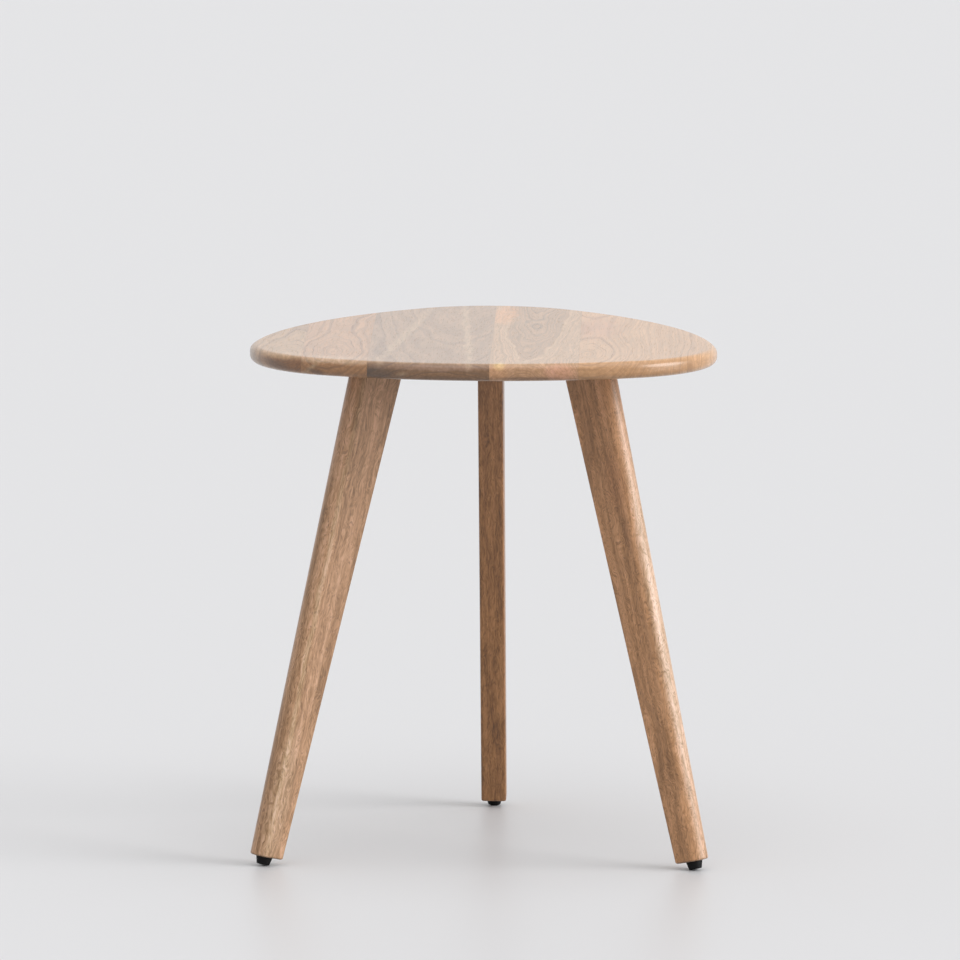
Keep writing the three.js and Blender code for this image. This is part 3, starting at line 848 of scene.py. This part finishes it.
# Twelve zinc-plated M6 button-head bolts with hexagon sockets go up through the plates beside the legs and
# into the top's inserts.
bolt_radius = 0.003
bolt_pitch = 0.001
bolt_head_radius = 0.00525
bolt_head_height = 0.0033
bolt_rim_height = 0.0012
bolt_crown_radius = 0.0030
bolt_socket_width = 0.004
bolt_socket_depth = 0.002
bolt_dome_chords = 6
bolt_facets = 36
bolt_head_arris = 0.0002
bolt_socket_flare = 0.0004
bolt_socket_lip = 0.0003
bolt_socket_point = 0.0004
bolt_thread_depth = 0.0006
bolt_thread_facets = 24
bolt_rows_per_turn = 6
extra_rows = 3  # one for the end of the last step, and one that shuts each end of a rod
thread_root = 0.08  # half the width of the flat between two ridges, as a share of the pitch
thread_steepness = 3.0
thread_smooth_turn = math.radians(38)


def turned_shell(profile, facets):
    """A body of revolution about Z. A radius may be a function of the angle, as in a hexagon socket."""
    shell = bmesh.new()
    loops = []
    for radius, z in profile:
        if radius == 0:
            loops.append([shell.verts.new((0, 0, z))])
            continue
        loop = []
        for i in range(facets):
            turn = math.radians(360) * i / facets
            reach = radius(turn) if callable(radius) else radius
            loop.append(shell.verts.new((reach * math.cos(turn), reach * math.sin(turn), z)))
        loops.append(loop)
    for first, second in zip(loops, loops[1:]):
        for i in range(facets):
            j = (i + 1) % facets
            around = ((first, i), (first, j), (second, j), (second, i))
            corners = [loop[spoke % len(loop)] for loop, spoke in around]
            shell.faces.new(list(dict.fromkeys(corners)))
    return shell


def hexagon(width):
    """The reach of a hexagon of this width across its flats, at a turn."""
    return lambda turn: width / 2 / math.cos(turn % sixth_turn - sixth_turn / 2)


bolt_profile = [(0, 0), (bolt_head_radius - bolt_head_arris, 0), (bolt_head_radius, -bolt_head_arris)]
for inset, rise in quarter_round(1.0, bolt_dome_chords):
    bolt_profile.append((
        bolt_head_radius - (bolt_head_radius - bolt_crown_radius) * inset,
        -bolt_head_height + (bolt_head_height - bolt_rim_height) * rise,
    ))
bolt_profile += [
    (hexagon(bolt_socket_width + bolt_socket_flare), -bolt_head_height),
    (hexagon(bolt_socket_width), bolt_socket_lip - bolt_head_height),
    (hexagon(bolt_socket_width), bolt_socket_depth - bolt_head_height),
    (0, bolt_socket_depth + bolt_socket_point - bolt_head_height),
]


def clamped(tree, value):
    return maths(tree, "MAXIMUM", maths(tree, "MINIMUM", value, 1.0), 0.0)


def threaded_rod_tree():
    """A threaded rod at each point of the mesh it works on, with another object's mesh as its head."""
    tree = bpy.data.node_groups.new("Threaded rod", "GeometryNodeTree")
    kinds = {
        "Geometry": "Geometry", "Radius": "Float", "Thread Depth": "Float", "Pitch": "Float", "Low": "Float",
        "High": "Float", "Chamfer": "Float", "Facets": "Int", "Rows": "Int", "Head": "Object",
        "Finish": "Material",
    }
    for label, kind in kinds.items():
        tree.interface.new_socket(label, in_out="INPUT", socket_type="NodeSocket" + kind)
    tree.interface.new_socket("Geometry", in_out="OUTPUT", socket_type="NodeSocketGeometry")
    given = tree.nodes.new("NodeGroupInput").outputs
    result = tree.nodes.new("NodeGroupOutput").inputs
    low, high, rows, depth = (given[label] for label in ("Low", "High", "Rows", "Thread Depth"))

    # The rod is a sheet rolled round Z: its columns go round, its rows go up, and its end rows shut it.
    columns = plus(tree, given["Facets"], 1.0)
    sheet = node(tree, "GeometryNodeMeshGrid", {"Vertices X": columns, "Vertices Y": rows}).outputs["Mesh"]
    place = node(tree, "GeometryNodeInputPosition").outputs[0]
    across, up = node(tree, "ShaderNodeSeparateXYZ", {0: place}).outputs[:2]
    lap = plus(tree, across, 0.5)
    row = times(tree, plus(tree, up, 0.5), minus(tree, rows, 1.0))
    climb = maths(tree, "DIVIDE", minus(tree, row, 1.0), minus(tree, rows, extra_rows))
    z = maths(tree, "MULTIPLY_ADD", clamped(tree, climb), minus(tree, high, low), low)
    laps_up = maths(tree, "DIVIDE", z, given["Pitch"])
    wave = maths(tree, "PINGPONG", minus(tree, laps_up, lap), 0.5)
    off_root = minus(tree, wave, thread_root)
    ridge = clamped(tree, times(tree, off_root, thread_steepness))
    radius = maths(tree, "MULTIPLY_ADD", ridge, depth, minus(tree, given["Radius"], depth))
    chamfered = minus(tree, given["Radius"], given["Chamfer"])
    for end in (minus(tree, z, low), minus(tree, high, z)):
        radius = maths(tree, "MINIMUM", radius, plus(tree, chamfered, end))
    between_ends = maths(tree, "COMPARE", climb, 0.5, 0.5001)
    radius = times(tree, radius, between_ends)
    turn = times(tree, lap, 4 * quarter_turn)
    x = times(tree, radius, maths(tree, "COSINE", turn))
    y = times(tree, radius, maths(tree, "SINE", turn))
    point = vector_of(tree, x, y, z)
    rolled = node(tree, "GeometryNodeSetPosition", {"Geometry": sheet, "Position": point}).outputs[0]
    rod = node(tree, "GeometryNodeMergeByDistance", {"Geometry": rolled, "Distance": 1e-6}).outputs[0]
    head = node(tree, "GeometryNodeObjectInfo", {"Object": given["Head"]}).outputs["Geometry"]
    joined = tree.nodes.new("GeometryNodeJoinGeometry")
    tree.links.new(rod, joined.inputs[0])
    tree.links.new(head, joined.inputs[0])
    inputs = {"Points": given["Geometry"], "Instance": joined.outputs[0]}
    placed = node(tree, "GeometryNodeInstanceOnPoints", inputs).outputs[0]
    real = node(tree, "GeometryNodeRealizeInstances", {"Geometry": placed}).outputs[0]
    inputs = {"Geometry": real, "Material": given["Finish"]}
    tree.links.new(node(tree, "GeometryNodeSetMaterial", inputs).outputs[0], result[0])
    return tree


threaded_rod = threaded_rod_tree()


def threaded_pieces(name, places, sizes, finish, head=None):
    """Threaded rods in one mesh, upright at their places, each with the head's mesh where one is given."""
    points = bpy.data.meshes.new(name)
    points.from_pydata([tuple(place) for place in places], [], [])
    rods = in_scene(name, points)
    modifier = rods.modifiers.new("threads", "NODES")
    modifier.node_group = threaded_rod
    values = {**sizes, "Finish": finish}
    if head:
        values["Head"] = head
    for item in threaded_rod.interface.items_tree:
        if item.in_out == "INPUT" and item.name in values:
            modifier[item.identifier] = values[item.name]
    settle(rods)
    rods.data.shade_smooth()
    rods.data.set_sharp_from_angle(angle=thread_smooth_turn)
    if head:
        bpy.data.objects.remove(head)
    return rods


bolt_names = [f"{corner}_plate_bolt_{number}" for corner in corner_turns for number in range(1, 5)]
bolt_places = [Vector((*middle(bolt_name).xy, leg_top)) for bolt_name in bolt_names]
bolt_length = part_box(bolt_names[0])[1].z - leg_top
bolt_head = finished_piece("bolt_head", turned_shell(bolt_profile, bolt_facets), zinc)
bolt_sizes = {
    "Radius": bolt_radius, "Thread Depth": bolt_thread_depth, "Chamfer": bolt_thread_depth,
    "Pitch": bolt_pitch, "Low": 0.0, "High": bolt_length, "Facets": bolt_thread_facets,
    "Rows": int(bolt_length / bolt_pitch * bolt_rows_per_turn) + extra_rows,
}
bolts = threaded_pieces("button_head_bolts", bolt_places, bolt_sizes, zinc, bolt_head)
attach(bolts, "table")
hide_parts(*bolt_names)

# A glide is a black moulded foot on an M8 zinc-plated stud, which screws in and out of the insert in the
# leg's cut end to level the table. The foot leans with the leg and stands on the inner side of its rim.
foot_gap = 0.0003
foot_height = 0.0077
foot_top_radius = 0.0081
foot_bottom_radius = 0.0065
foot_rim_radius = 0.001
foot_lip_radius = 0.0004
foot_bore_radius = 0.004
foot_sole = 0.0014
foot_facets = 64
rim_chords = 6
stud_radius = 0.0039
stud_pitch = 0.00125
stud_length = 0.032
stud_thread_depth = 0.0007
stud_chamfer = 0.0008
stud_facets = 32
stud_rows_per_turn = 8
stud_low = foot_sole - foot_height
black_plastic = coated(
    "black plastic", "0c0c0c", "141415",
    metallic=0.0, gloss=0.5, size=0.0005, drift=0.006, bump=0.00004, shine=0.15,
)
foot_low = -foot_gap - foot_height
foot_profile = [
    (0, foot_low + foot_sole), (foot_bore_radius, foot_low + foot_sole),
    (foot_bore_radius, -foot_gap - foot_lip_radius), (foot_bore_radius + foot_lip_radius, -foot_gap),
]
for drop, inset in quarter_round(foot_lip_radius, rim_chords):
    foot_profile.append((foot_top_radius - inset, -foot_gap - drop))
for inset, rise in quarter_round(foot_rim_radius, rim_chords):
    foot_profile.append((foot_bottom_radius - inset, foot_low + rise))
foot_profile.append((0, foot_low))
stud_sizes = {
    "Radius": stud_radius, "Thread Depth": stud_thread_depth, "Chamfer": stud_chamfer,
    "Pitch": stud_pitch, "Low": stud_low, "High": stud_low + stud_length, "Facets": stud_facets,
    "Rows": int(stud_length / stud_pitch * stud_rows_per_turn) + extra_rows,
}
lean = Matrix.Translation(end_middle) @ Matrix.Rotation(-leg_splay, 4, "Y")
for corner, corner_turn in corner_turns.items():
    place = Matrix.Translation(table_axis) @ Matrix.Rotation(corner_turn, 4, "Z") @ lean
    shell = turned_shell(foot_profile, foot_facets)
    bmesh.ops.transform(shell, matrix=place, verts=shell.verts)
    foot = finished_piece(f"{corner}_moulded_foot", shell, black_plastic)
    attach(foot, f"{corner}_foot")
    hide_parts(f"{corner}_glide_foot")

    stud = threaded_pieces(f"{corner}_threaded_stud", [Vector()], stud_sizes, zinc)
    stud.data.transform(place)
    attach(stud, f"{corner}_stud")
    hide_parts(f"{corner}_glide_stud")

# The stage is a pale floor of matt paint with a faint sheen, seen through from below, under a plain white
# sky. One broad soft lamp stands to the right and a weaker one overhead.
floor_reach = 34.0
floor_facets = 96
sky_light = 0.64
sky_seen = 0.86


def seen_directly(tree):
    """1 for what the camera sees, also mirrored or through glass, and 0 for what lights the object."""
    path = tree.nodes.new("ShaderNodeLightPath").outputs
    seen = maths(tree, "MAXIMUM", path["Is Camera Ray"], path["Is Glossy Ray"])
    return maths(tree, "MAXIMUM", seen, path["Is Transmission Ray"])


floor_disc = bmesh.new()
bmesh.ops.create_circle(floor_disc, cap_ends=True, segments=floor_facets, radius=floor_reach)
floor_finish, floor_tree, floor_shader = new_finish("pale floor")
floor_colour = mixed(floor_tree, seen_directly(floor_tree), paint("a0a0a1"), paint("d9d9db"))
feed(floor_tree, floor_shader.inputs, {"Base Color": floor_colour, "Roughness": 0.42})
clear = floor_tree.nodes.new("ShaderNodeBsdfTransparent").outputs[0]
from_below = floor_tree.nodes.new("ShaderNodeNewGeometry").outputs["Backfacing"]
floor_mix = node(floor_tree, "ShaderNodeMixShader", {0: from_below, 1: floor_shader.outputs[0], 2: clear})
floor_tree.links.new(floor_mix.outputs[0], floor_tree.nodes["Material Output"].inputs["Surface"])
floor = finished_piece("floor", floor_disc, floor_finish)

sky = bpy.data.worlds.new("white sky")
bpy.context.scene.world = sky
sky.use_nodes = True
sky_tree = sky.node_tree
strength = maths(sky_tree, "MULTIPLY_ADD", seen_directly(sky_tree), sky_seen - sky_light, sky_light)
feed(sky_tree, sky_tree.nodes["Background"].inputs, {"Color": (1, 1, 1, 1), "Strength": strength})


def soft_lamp(name, azimuth, height, spread, power):
    """A broad lamp far off. Its azimuth, from +X towards +Y, its height and its spread are in degrees."""
    lamp_data = bpy.data.lights.new(name, "SUN")
    lamp_data.energy = power
    lamp_data.angle = math.radians(spread)
    lamp = in_scene(name, lamp_data)
    away = Euler((0, -math.radians(height), math.radians(azimuth))).to_matrix() @ Vector((1, 0, 0))
    lamp.rotation_euler = away.to_track_quat("Z", "Y").to_euler()


soft_lamp("right lamp", azimuth=-14, height=20, spread=40, power=2.0)
soft_lamp("top lamp", azimuth=-60, height=74, spread=60, power=0.75)

# The camera stands 12 m back with a long lens, a little to the right of the table's front. It looks slightly
# down from about 2 m above the floor.
camera_reach = 12.0
camera_height = 2.089195
camera_turn = math.radians(2.349)  # round the table's axis, towards the right
camera_aim = math.radians(2.375)
camera_pitch = math.radians(8.173)
camera_roll = math.radians(0.195)
sensor_width = 36.0
focal_pixels = 12319.73
picture_pixels = 960
camera_data = bpy.data.cameras.new("camera")
camera_data.sensor_width = sensor_width
camera_data.lens = sensor_width * focal_pixels / picture_pixels
camera_data.clip_end = 200.0
camera = in_scene("camera", camera_data)
camera.location = table_axis + Vector((
    camera_reach * math.sin(camera_turn), -camera_reach * math.cos(camera_turn), camera_height,
))
aim = Matrix.Rotation(camera_aim, 3, "Z") @ Matrix.Rotation(quarter_turn - camera_pitch, 3, "X")
camera.rotation_euler = (aim @ Matrix.Rotation(camera_roll, 3, "Z")).to_euler()
bpy.context.scene.camera = camera
bpy.context.scene.view_settings.view_transform = "Standard"
